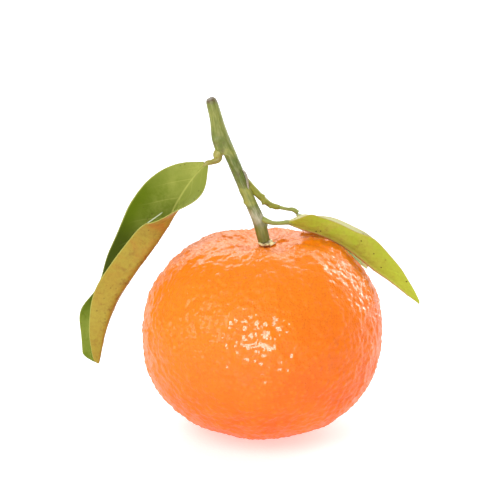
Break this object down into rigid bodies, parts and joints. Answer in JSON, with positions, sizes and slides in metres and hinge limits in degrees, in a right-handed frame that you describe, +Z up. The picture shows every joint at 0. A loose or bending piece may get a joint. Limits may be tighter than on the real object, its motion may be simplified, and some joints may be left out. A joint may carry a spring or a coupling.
{
  "type": "clementine",
  "caption": "Whole clementine with a pitted rind and a dimpled top, resting on a small flat spot, with a cut twig, thin leaf stalks and long curled and folded leaves.",
  "frame": {"origin": "middle of the small flat spot underneath, on the surface that the fruit rests on", "axes": "+Z up through the dimple, -Y towards the front, +X towards the side of the folded leaf; the long rolled leaf hangs on the -X side"},
  "size_m": [0.0861, 0.0602, 0.0853],
  "materials": {
    "rind": "glossy orange citrus rind, finely pitted with oil glands",
    "calyx": "dry grey-green star with brown lobe tips",
    "twig_bark": "green young bark with grey lengthwise streaks, brown cut end",
    "ochre_stalk": "ochre to green smooth leaf stalk",
    "green_stalk": "yellow-green smooth leaf stalk",
    "shoot_bark": "green-brown young shoot with small brown bud scars",
    "left_leaf_blade": "leathery leaf, green and slightly glossy above, dull ochre-green below",
    "right_leaf_blade": "leathery yellow-green leaf with dark specks",
    "rear_leaf_blade": "leathery grey-green leaf"
  },
  "bodies": {
    "root": {"fruit": "rind", "calyx": "calyx", "twig": "twig_bark", "left_petiole": "ochre_stalk", "left_leaf": "left_leaf_blade", "right_petiole": "green_stalk", "right_leaf": "right_leaf_blade", "side_shoot": "shoot_bark", "rear_petiole": "green_stalk", "rear_leaf": "rear_leaf_blade"}
  },
  "joints": []
}
